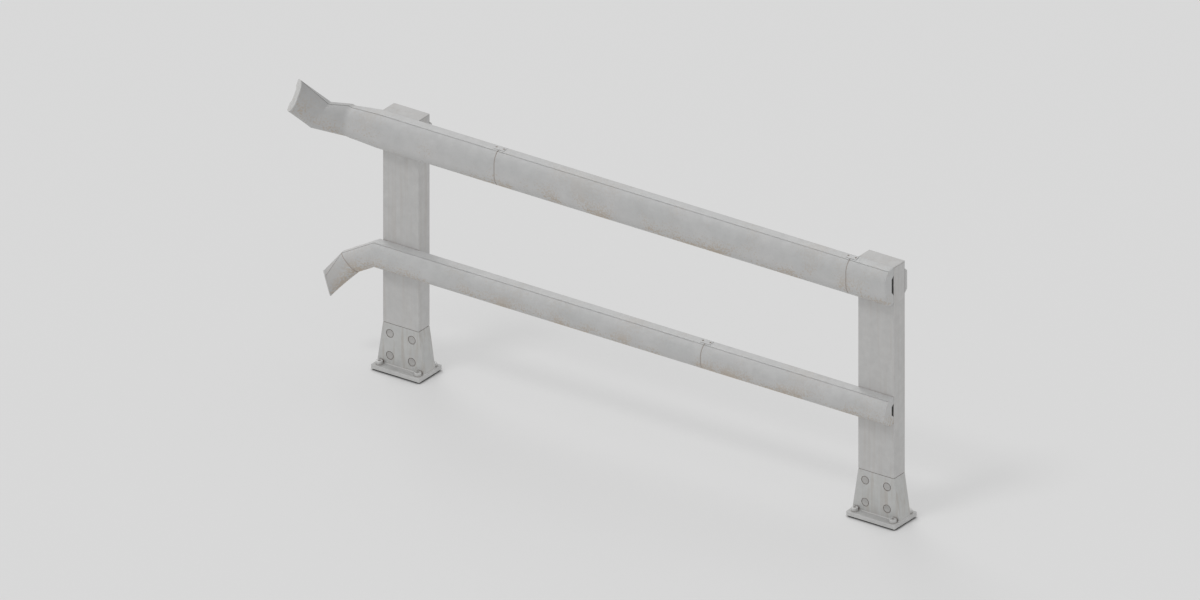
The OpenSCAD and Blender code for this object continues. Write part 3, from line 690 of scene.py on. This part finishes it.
bent = rail_length("upper_rail_left", twisted(UPPER_BEND) + [straight(upper_gap[0])],
                   UPPER, upper_top, bend_shade_along=fading(UPPER_BEND_SHADE))
crease(bent, [1 + k * TWIST_STEPS for k in CREASED_STATIONS], len(rail_outlines(UPPER)[0]))
for node, rail, top in (("upper_rail_middle", UPPER, upper_top),
                        ("upper_rail_right", UPPER, upper_top),
                        ("lower_rail_right", LOWER, lower_top)):
    x0, x1 = node_ends(node)
    rail_length(node, [straight(x0), straight(x1)], rail, top)
rail_length("lower_rail_left",
            twisted([shifted(LOWER_JOINT, -JOINT_PLATE / 2), LOWER_BEND])
            + [straight(lower_gap[0])], LOWER, lower_top)
rail_length("lower_rail_tip",
            twisted([LOWER_END, shifted(LOWER_JOINT, JOINT_PLATE / 2)]), LOWER, lower_top,
            bend_shade_along=fading(TIP_BEND_SHADE))
print("joint in the upper rail:", [round(x, 4) for x in upper_gap])

# %% [markdown]
# ## Ends and joints
# Steel plates close the rails' ends, so that no water or wasps get in. Each is as wide as the rail,
# with its outer edge ground back by a millimetre. Inside each straight joint sits a sleeve, and the
# gap above it holds a bead of sealant that ends just below the rail's surface. Where the lower rail's
# tip is fixed on, a plate lies between the two lengths, also just below their surface. So each joint
# shows as a narrow line, a little darker than the rail. A painted line would look the same from the
# front, but a real gap also stays right from the side and in other light.

# %% Build the end plates and the joints
END_PLATE = 4
PLATE_GRIND = 1.0
SLEEVE_INSET = 5.4
SLEEVE_WALL = 4
JOINT_INSET = 0.6
SEALANT_BELOW = 0.8


def end_plate(node, stations, rail, top, material=rail_zinc, bend_shade=0.0):
    """A plate between two stations, ground back at its outer face, which comes first."""
    plain, corners = outline(rail)
    full = ease(plain, corners, CORNER_R)
    ground = inward(full, PLATE_GRIND)
    outer, inner = stations
    thickness = inner[0] - outer[0]
    step = (outer[0] + thickness.normalized() * PLATE_GRIND, *outer[1:])
    body = solid(rings([outer], ground, top) + rings([step, inner], full, top))
    low = how_low(full, rail)
    # painted shade on the plate's rim, as on the bent end behind it
    rim_shade = [bend_shade * (1 - BELLY_SHADE_CUT * share) for share in low]
    return piece(node, [body], material, low * 3, [0.0] * len(low) + rim_shade * 2)


end_plate("upper_end_cap_left", (shifted(UPPER_END, END_PLATE), UPPER_END), UPPER, upper_top,
          painted_lit_end_zinc, UPPER_BEND_SHADE[0])
end_plate("lower_end_cap_left", (shifted(LOWER_END, END_PLATE), LOWER_END), LOWER, lower_top,
          painted_lit_end_zinc, TIP_BEND_SHADE[0])
for node, rail, top in (("upper_end_cap_right", UPPER, upper_top),
                        ("lower_end_cap_right", LOWER, lower_top)):
    x0, x1 = node_ends(node)
    end_plate(node, (straight(x1), straight(x0)), rail, top)


def sealant(gap, rail, top):
    """A bead that fills the gap of a joint to just below the rail's surface."""
    surface, corners = outline(rail)
    plain, _ = outline(rail, lip=False)
    outside = ease(inward(surface, SEALANT_BELOW), corners, CORNER_R)
    inside = ease(inward(plain, SLEEVE_INSET), corners, CORNER_R)
    ends = [straight(x) for x in gap]
    return hollow(rings(ends, outside, top), rings(ends, inside, top))


for node, gap, rail, top in (("upper_splice_left", upper_gap, UPPER, upper_top),
                             ("upper_splice_right", upper_gap_right, UPPER, upper_top),
                             ("lower_splice", lower_gap, LOWER, lower_top)):
    x0, x1 = node_ends(node)
    rail_length(node, [straight(x0), straight(x1)], rail, top, material=grime,
                inset=SLEEVE_INSET, wall=SLEEVE_WALL,
                extra=[sealant(gap, rail, top)])

plate_rim, _ = outline(LOWER, lip=False)
plate_rings = rings([shifted(LOWER_JOINT, JOINT_PLATE / 2), shifted(LOWER_JOINT, -JOINT_PLATE / 2)],
                    inward(plate_rim, JOINT_INSET), lower_top)
piece("lower_tip_joint", [solid(plate_rings)], grime)
print("end plates: 4, sleeves: 3, joint plate: 1")

# %% [markdown]
# ## Posts, caps and shoes
# A post is a box section with slightly rounded corners, cut square. Its cap is a plate of the same
# size: the filed edges of both make the thin line that runs round the post just below its top. A shoe
# is a casting of the same depth, which widens towards the ground. The post's foot has a wider bevel,
# so the line where they meet is broader. A small weld bead runs round the shoe on its base plate.
# All of them are stacks of rounded rectangles. Cubes with a bevel modifier could serve for the posts,
# but a stack makes straight and tapered shapes alike, with a different bevel at each end.

# %% Build posts, caps, shoes and plates
POST_CORNER_R = 1.0
PLATE_CORNER_R = 3.0
SMALLEST_R = 0.3
FILED = 0.9
POST_FOOT_BEVEL = 2.4
WELD = 2.2
CORNER_STEPS = 5


def rounded_rectangle(width, depth, radius):
    """Corner by corner, anticlockwise, in millimetres."""
    points = []
    for k, (sx, sy) in enumerate(((1, 1), (-1, 1), (-1, -1), (1, -1))):
        centre = Vector((sx * (width / 2 - radius), sy * (depth / 2 - radius)))
        for i in range(CORNER_STEPS + 1):
            turn = math.radians(90 * k + 90 * i / CORNER_STEPS)
            points.append(centre + radius * Vector((math.cos(turn), math.sin(turn))))
    return points


def stack(centre, levels, radius, depth):
    """Rings of rounded rectangles; each level is a width, a setback and a height in metres."""
    made = []
    for width, setback, z in levels:
        outline_points = rounded_rectangle(width - 2 * setback, depth - 2 * setback,
                                           max(radius - setback, SMALLEST_R))
        made.append([Vector((centre + p.x * MM, p.y * MM, z)) for p in outline_points])
    return made


def filed_stack(node, widths, radius, material, extra=(), foot_file=FILED):
    """A stack with filed edges that fills a node's box, from its bottom to its top width."""
    low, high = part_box(node)
    centre, depth = (low.x + high.x) / 2, (high.y - low.y) / MM
    bottom, top = widths or [(high.x - low.x) / MM] * 2
    lean = (top - bottom) * FILED * MM / (high.z - low.z)
    levels = [
        (bottom, foot_file, low.z), (bottom + lean, 0, low.z + foot_file * MM),
        (top - lean, 0, high.z - FILED * MM), (top, FILED, high.z),
    ]
    body = solid(stack(centre, levels, radius, depth))
    return piece(node, [body, *extra], material)


shoes = {}
for side in ("left", "right"):
    post_width = (post_high.x - post_low.x) / MM
    shoe_low, shoe_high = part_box("foot_" + side)
    shoe_width = (shoe_high.x - shoe_low.x) / MM
    filed_stack("post_" + side, None, POST_CORNER_R, post_zinc,
                foot_file=POST_FOOT_BEVEL)
    shoes[side] = filed_stack("foot_" + side, (shoe_width, post_width), POST_CORNER_R, foot_zinc)
    plate_low, plate_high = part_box("base_plate_" + side)
    weld_levels = [(shoe_width, -WELD, plate_high.z), (shoe_width, 0, plate_high.z + WELD * MM)]
    weld = solid(stack((plate_low.x + plate_high.x) / 2, weld_levels, POST_CORNER_R + WELD,
                       (shoe_high.y - shoe_low.y) / MM))
    filed_stack("base_plate_" + side, None, PLATE_CORNER_R, plate_zinc, extra=[weld])
    cap_low, cap_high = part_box("post_cap_" + side)
    cap_levels = [
        (post_width, FILED, post_high.z), (post_width, 0, post_high.z + FILED * MM),
        (post_width, 0, cap_high.z - FILED * MM), (post_width, FILED, cap_high.z),
    ]
    cap = solid(stack((cap_low.x + cap_high.x) / 2, cap_levels, POST_CORNER_R,
                      (cap_high.y - cap_low.y) / MM))
    piece("post_cap_" + side, [cap], post_zinc)
print("posts stand", round(post_high.z - post_low.z, 3), "m tall on their shoes")

# %% [markdown]
# ## Blocks behind the posts
# At the upper rail's height a thick block with chamfered top and bottom backs each post, and takes
# the heads of the rail's bolts. It is an extrusion along the rail, so it is two rings of its side
# view, with the cut ends filed. A cube would need its sloping faces pulled into place by hand, while
# a side view of four corners says at once what the block is.

# %% Build the blocks
BLOCK_SLOPE = 12


def along_x(x_levels, points):
    """Rings of a side view, given as pairs of y and z in metres, at several x with setbacks."""
    made = []
    for x, setback in x_levels:
        made.append([Vector((x, p.x, p.y)) for p in inward(points, setback)])
    return made


for side in ("left", "right"):
    low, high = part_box("back_block_" + side)
    slope = BLOCK_SLOPE * MM
    side_view = [
        Vector((low.y, low.z)), Vector((high.y, low.z + slope)),
        Vector((high.y, high.z - slope)), Vector((low.y, high.z)),
    ]
    side_view = ease(side_view, range(4), CORNER_R * MM)
    file = FILED * MM
    levels = [(low.x, file), (low.x + file, 0), (high.x - file, 0), (high.x, file)]
    piece("back_block_" + side, [solid(along_x(levels, side_view))], post_zinc)
print("block is", round((high.y - low.y) / MM, 1), "mm thick")

# %% [markdown]
# ## Turned and forged fasteners
# A bolt head starts as a turned disc: a profile spun round an axis, as on a lathe. Blender's screw
# modifier could spin it. Spun here, it is rings like all the rest, and the same helpers join it into
# a piece. Holes and sockets are cut with a boolean, and the result is kept as the piece's mesh.

# %% Helpers for fasteners
TURN_STEPS = 40


def turned(centre, axis, profile, steps=TURN_STEPS):
    """A body spun round an axis from pairs of radius and height in millimetres."""
    across = axis.orthogonal().normalized()
    if abs(axis.y) > 0.9:
        across = Vector((1, 0, 0))
    other = axis.cross(across)
    made = []
    for radius, height in profile:
        ring = []
        for i in range(steps):
            turn = 2 * math.pi * i / steps
            spoke = across * math.cos(turn) + other * math.sin(turn)
            ring.append(centre + (axis * height + spoke * radius) * MM)
        made.append(ring)
    return solid(made)


def cut(target, tools):
    """Cuts the tools' bodies out of an object and keeps the result as its mesh."""
    tool = bpy.data.objects.new("cutter", closed_mesh("cutter", tools))
    bpy.context.collection.objects.link(tool)
    difference = target.modifiers.new("cut", "BOOLEAN")
    difference.operation = "DIFFERENCE"
    difference.solver = "EXACT"
    difference.object = tool
    seen = target.evaluated_get(bpy.context.evaluated_depsgraph_get())
    result = bpy.data.meshes.new_from_object(seen)
    target.modifiers.clear()
    target.data = result
    smooth(result)
    bpy.data.objects.remove(tool)
    return target


print("turned pieces have", TURN_STEPS, "steps")

# %% [markdown]
# ## Shoe screws
# Four broad, low screws hold each shoe to the spigot inside it. Each has a shallow dish in its head
# and lies flush in a recess that is a little wider. The ring between them could be a dark circle in
# the material, but a real gap has a lit side and a shaded side, and holds dirt; the zinc's brown
# tint in gaps adds painted shade there too.

# %% Shoe screws in their round recesses
SCREW_X = 46
SCREW_HEIGHTS = (35, 119.5)
RECESS_R = 16
RECESS_DEPTH = 2.3
RECESS_CHAMFER = 0.25
SHOE_HEAD_R = 13.5
SHOE_HEAD_TOP = -0.3
DISH_R = 12
DISH_DEPTH = 1.9
DISH_STEPS = 7
HEAD_EDGE = 0.5
TO_FRONT = Vector((0, -1, 0))


def screw_places(side):
    """The middles of a shoe's recesses on its front face."""
    low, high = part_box("foot_" + side)
    middle = (low.x + high.x) / 2
    return [Vector((middle + sx * SCREW_X * MM, low.y, low.z + z * MM))
            for sx in (-1, 1) for z in SCREW_HEIGHTS]


for side in ("left", "right"):
    recess = [(RECESS_R + 2 * RECESS_CHAMFER, RECESS_CHAMFER),
              (RECESS_R, -RECESS_CHAMFER), (RECESS_R, -RECESS_DEPTH)]
    cut(shoes[side], [turned(p, TO_FRONT, recess) for p in screw_places(side)])
    head = [(SHOE_HEAD_R, -RECESS_DEPTH), (SHOE_HEAD_R, SHOE_HEAD_TOP - HEAD_EDGE),
            (SHOE_HEAD_R - HEAD_EDGE, SHOE_HEAD_TOP)]
    for k in range(DISH_STEPS):
        share = 1 - k / DISH_STEPS
        head.append((DISH_R * share, SHOE_HEAD_TOP - DISH_DEPTH * (1 - share ** 2)))
    piece("foot_screws_" + side, [turned(p, TO_FRONT, head) for p in screw_places(side)],
          screw_zinc)
print("shoe screws at", [tuple(round(v, 3) for v in p) for p in screw_places("left")])

# %% [markdown]
# ## Anchor bolts
# Four bolts hold each base plate to the ground. Their round heads have a six-sided socket and give no
# hold to a spanner. A plain disc would look like a coin, so the profile has a rounded rim, which
# catches the light. The socket is drawn shallow, because old dirt fills most of it.

# %% Anchor bolts
SHANK_R = 8
ANCHOR_HEAD_R = 13
ANCHOR_FOOT = (0.4, 0.6)
ANCHOR_RIM = ((0, 1.6), (0.5, 0.6), (1.5, 0))
ANCHOR_CENTRE_R = 0.3
SOCKET_ACROSS = 10
SOCKET_DEPTH = 3
CUT_PAST = 2
UP = Vector((0, 0, 1))


def anchor_profile(shank, height):
    """From the shank's end over the head's foot and rounded rim to the middle of its top."""
    foot = [(ANCHOR_HEAD_R - ANCHOR_FOOT[0], 0), (ANCHOR_HEAD_R, ANCHOR_FOOT[1])]
    rim = [(ANCHOR_HEAD_R - back, height - below) for back, below in ANCHOR_RIM]
    return [(SHANK_R, shank), (SHANK_R, 0), *foot, *rim, (ANCHOR_CENTRE_R, height)]


for side in ("left", "right"):
    low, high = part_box("anchor_bolts_" + side)
    plate_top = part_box("base_plate_" + side)[1].z
    head_h = (high.z - plate_top) / MM
    places = [
        Vector((x, y, plate_top))
        for x in (low.x + ANCHOR_HEAD_R * MM, high.x - ANCHOR_HEAD_R * MM)
        for y in (low.y + ANCHOR_HEAD_R * MM, high.y - ANCHOR_HEAD_R * MM)
    ]
    head = anchor_profile((low.z - plate_top) / MM, head_h)
    bolts = piece("anchor_bolts_" + side, [turned(p, UP, head) for p in places], plated)
    socket_r = SOCKET_ACROSS / math.sqrt(3)
    socket = [(socket_r, head_h - SOCKET_DEPTH), (socket_r, head_h + CUT_PAST)]
    cut(bolts, [turned(p, UP, socket, steps=6) for p in places])
print("anchor bolts stand at", [tuple(round(v, 3) for v in p) for p in places])

# %% [markdown]
# ## Bolts behind the posts
# Two bolts for each rail pass through the post, and their hexagon heads stand on the block or on the
# post's back. A hexagon is a turned disc of only six steps. Its outer edge is drawn in, as the
# chamfer of a forged head is, because without it the head looks sawn off.

# %% Bolts behind the posts
BOLT_SPACING = 80
HEX_ACROSS = 24
HEX_R = HEX_ACROSS / math.sqrt(3)
HEX_H = 10
HEX_CHAMFER = (1.6, 1.4)
TO_BACK = Vector((0, 1, 0))

for side in ("left", "right"):
    for level in ("upper", "lower"):
        node = "rail_bolts_" + level + "_" + side
        low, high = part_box(node)
        middle, height = (low.x + high.x) / 2, (low.z + high.z) / 2
        hexagon = [(HEX_R, -HEX_H), (HEX_R, -HEX_CHAMFER[1]), (HEX_R - HEX_CHAMFER[0], 0)]
        shank = [(SHANK_R, (low.y - high.y) / MM), (SHANK_R, -HEX_H)]
        bodies = []
        for sx in (-1, 1):
            place = Vector((middle + sx * BOLT_SPACING / 2 * MM, high.y, height))
            bodies.append(turned(place, TO_BACK, hexagon, steps=6))
            bodies.append(turned(place, TO_BACK, shank))
        piece(node, bodies, plated)
print("rail bolts: 8, with heads", HEX_H, "mm high")

# %% [markdown]
# ## Straps and screws on the joints
# A thin strap bridges each straight joint on the rail's top and keeps water out. It lies on the
# slope of the top, so it is drawn in a tilted frame: along the rail, up the slope to the back, and
# square to the top. Two low screws sit in seats in it and show as dark dots. A strap this thin could
# be left to a bump in the rail's material, but a bump has no edge of its own and casts no shadow.

# %% Build the straps and their screws
SCREW_OFFSET = 15.5
SCREW_BACK = 13
SEAT_R = 3.95
JOINT_HEAD_R = 3.75
STRAP_W = 22
STRAP_T = 2
STRAP_CORNER_R = 2.5
HEAD_SEAT = 0.8
SCREW_SHANK_R = 2
SCREW_LENGTH = 11
SCREW_HEAD_EDGE = (0.6, 0.4)
DRIVE_R = 2.1
DRIVE_FLOOR = 1.0
DRIVE_CENTRE_R = 0.2
top_normal = Vector((0, -TOP_FALL, TOP_FLAT)).normalized()
up_slope = Vector((0, TOP_FLAT, TOP_FALL)).normalized()

joints = {
    "joint_strap_upper_left": (sum(upper_gap) / 2, upper_top),
    "joint_strap_upper_right": (sum(upper_gap_right) / 2, upper_top),
    "joint_strap_lower": (sum(lower_gap) / 2, lower_top),
}
screw_head = [
    (SCREW_SHANK_R, -SCREW_LENGTH), (SCREW_SHANK_R, HEAD_SEAT), (JOINT_HEAD_R, HEAD_SEAT),
    (JOINT_HEAD_R, STRAP_T - SCREW_HEAD_EDGE[1]), (JOINT_HEAD_R - SCREW_HEAD_EDGE[0], STRAP_T),
    (DRIVE_R, STRAP_T), (DRIVE_R - 0.1, DRIVE_FLOOR), (DRIVE_CENTRE_R, DRIVE_FLOOR),
]
screws = []
for node, (x, top) in joints.items():
    middle = Vector((x, post_low.y - SCREW_BACK * MM, top - SCREW_BACK * TOP_FALL / TOP_FLAT * MM))
    length = (node_ends(node)[1] - node_ends(node)[0]) / MM
    levels = []
    for setback, height in ((0, 0), (0, STRAP_T - HEAD_EDGE), (HEAD_EDGE, STRAP_T)):
        plan = rounded_rectangle(length - 2 * setback, STRAP_W - 2 * setback,
                                 STRAP_CORNER_R - setback)
        levels.append([middle + (Vector((p.x, 0, 0)) + up_slope * p.y + top_normal * height) * MM
                       for p in plan])
    strap = piece(node, [solid(levels)], rail_zinc)
    places = [middle + Vector((sx * SCREW_OFFSET * MM, 0, 0)) for sx in (-1, 1)]
    seat = [(SEAT_R, HEAD_SEAT), (SEAT_R, STRAP_T + 1)]
    cut(strap, [turned(p, top_normal, seat, steps=24) for p in places])
    screws += [turned(p, top_normal, screw_head, steps=20) for p in places]
piece("splice_screws", screws, grime)
print("joint screws:", len(screws), "strap length", round(length, 1))

# %% [markdown]
# ## What stays as the CAD made it
# The nut bars, the spacer tubes and the spigots are plain machined parts hidden inside, and the keys
# in the rails' channels and the pads under the feet are plain blocks of rubber. Their CAD shapes are
# right, so they only get their finishes.

# %% Finish the remaining CAD parts
# the keys' dark rubber also paints the shade in the slots at the rail ends
FINISH_OF = {
    "rail_key": rubber_and_slot_shade, "nut_bar": inner_zinc, "spacer_tubes": inner_zinc,
    "foot_spigot": inner_zinc, "bedding_pad": rubber_and_slot_shade,
}
for node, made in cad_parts.items():
    material = next((m for start, m in FINISH_OF.items() if node.startswith(start)), inner_zinc)
    made.data.materials.clear()
    made.data.materials.append(material)
print("CAD parts left in view:", sum(not o.hide_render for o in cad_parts.values()))

# %% [markdown]
# ## Floor
# The object stands on a plain pale sheet. Such a sheet under strong lamps would be white, but then so
# would the rails' tops. So the lamps stay weak and the sheet glows a little, as a table with a light
# under it does. Close to the object, where a real sheet gets no light, its glow and its tone are both
# darkened by ambient occlusion: a painted contact shadow, which makes the dark line of contact. A
# cast shadow alone would leave the glow in that line.

# %% Build the floor
FLOOR_SIZE = 40
FLOOR_GLOW = 0.42
CONTACT_SHADOW_MM = 14
GLOW_SHADE_MM = 50
BACKDROP = colour("#d6d6d6")
floor_mesh = bpy.data.meshes.new("floor")
half = FLOOR_SIZE / 2
floor_mesh.from_pydata([(-half, -half, 0), (half, -half, 0), (half, half, 0), (-half, half, 0)],
                       [], [(0, 1, 2, 3)])
floor = bpy.data.objects.new("floor", floor_mesh)
bpy.context.collection.objects.link(floor)
floor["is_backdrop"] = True
paper = bpy.data.materials.new("pale_studio_floor")
paper.use_nodes = True
paper_tree = paper.node_tree
paper_shader = paper_tree.nodes["Principled BSDF"]
paper_shader.inputs["Roughness"].default_value = 1.0
paper_shader.inputs["Specular IOR Level"].default_value = 0.0


def openness(reach_mm):
    """How open the floor is to the sky, looking no further than this."""
    return add_node(paper_tree, "ShaderNodeAmbientOcclusion",
                    {"Distance": reach_mm * MM}).outputs["AO"]


# painted contact shadow: the floor's tone darkens where ambient occlusion finds the object close by
painted_contact_shadow = spread(paper_tree, openness(CONTACT_SHADOW_MM), 0.1, 0.85, 0.1, 1.0)
paper_tone_with_contact_shadow = blend(paper_tree, painted_contact_shadow, colour("#3c3c3c"), colour("#eaeaea"))
paper_tree.links.new(paper_tone_with_contact_shadow, paper_shader.inputs["Base Color"])
paper_light = add_node(paper_tree, "ShaderNodeEmission", {"Color": BACKDROP})
# painted shade: the glow also falls away near the object
paper_mix = add_node(paper_tree, "ShaderNodeMixShader", {
    0: spread(paper_tree, openness(GLOW_SHADE_MM), 0.75, 1.0, 0.0, FLOOR_GLOW),
    1: paper_shader.outputs["BSDF"], 2: paper_light.outputs["Emission"],
})
paper_tree.links.new(paper_mix.outputs["Shader"],
                     paper_tree.nodes["Material Output"].inputs["Surface"])
floor_mesh.materials.append(paper)
print("floor of", FLOOR_SIZE, "m")

# %% [markdown]
# ## Sky and lamps
# The light is that of a studio. A bright, even sky does most of the work, as a large tent of cloth
# would. One broad lamp in front, a little to the left and high up, lights the rails' tops and fronts
# and throws the shadows backwards. A second and broader one, on the left and behind, lights the tops
# and gives the fainter shadow. A sky picture could do all of it at once, but two lamps and an even
# tone can be set one by one. The camera sees a plain backdrop colour in place of the sky.

# %% Build the sky and the lamps
SKY_LIGHT = 0.63
world = bpy.data.worlds.new("studio")
bpy.context.scene.world = world
world.use_nodes = True
tree = world.node_tree
tree.nodes.clear()
ray = add_node(tree, "ShaderNodeLightPath")
seen = add_node(tree, "ShaderNodeMath", {
    0: ray.outputs["Is Camera Ray"], 1: ray.outputs["Is Glossy Ray"],
}, operation="MAXIMUM")
seen_through = add_node(tree, "ShaderNodeMath", {
    0: seen.outputs[0], 1: ray.outputs["Is Transmission Ray"],
}, operation="MAXIMUM")
sky = add_node(tree, "ShaderNodeBackground", {"Color": (1, 1, 1, 1), "Strength": SKY_LIGHT})
wall = add_node(tree, "ShaderNodeBackground", {"Color": BACKDROP, "Strength": 1.0})
both = add_node(tree, "ShaderNodeMixShader", {
    0: seen_through.outputs[0], 1: sky.outputs[0], 2: wall.outputs[0],
})
add_node(tree, "ShaderNodeOutputWorld", {"Surface": both.outputs[0]})


def sun(name, towards, strength, softness):
    """A lamp far away, seen in this direction; softness is the width of its disc in degrees."""
    lamp = bpy.data.lights.new(name, "SUN")
    lamp.energy = strength
    lamp.angle = math.radians(softness)
    made = bpy.data.objects.new(name, lamp)
    made.rotation_euler = Vector(towards).to_track_quat("Z", "Y").to_euler()
    bpy.context.collection.objects.link(made)
    return made


sun("key", (-0.17, -0.52, 0.84), strength=0.48, softness=14)
sun("fill", (-0.66, 0.43, 0.62), strength=0.5, softness=32)
print("sky", SKY_LIGHT, "and two lamps")

# %% [markdown]
# ## Size
# The dressed model has to keep the CAD model's size, so its box is printed.

# %% Print the size
low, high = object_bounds()
print("visual box:", [round(v, 3) for v in low], [round(v, 3) for v in high])
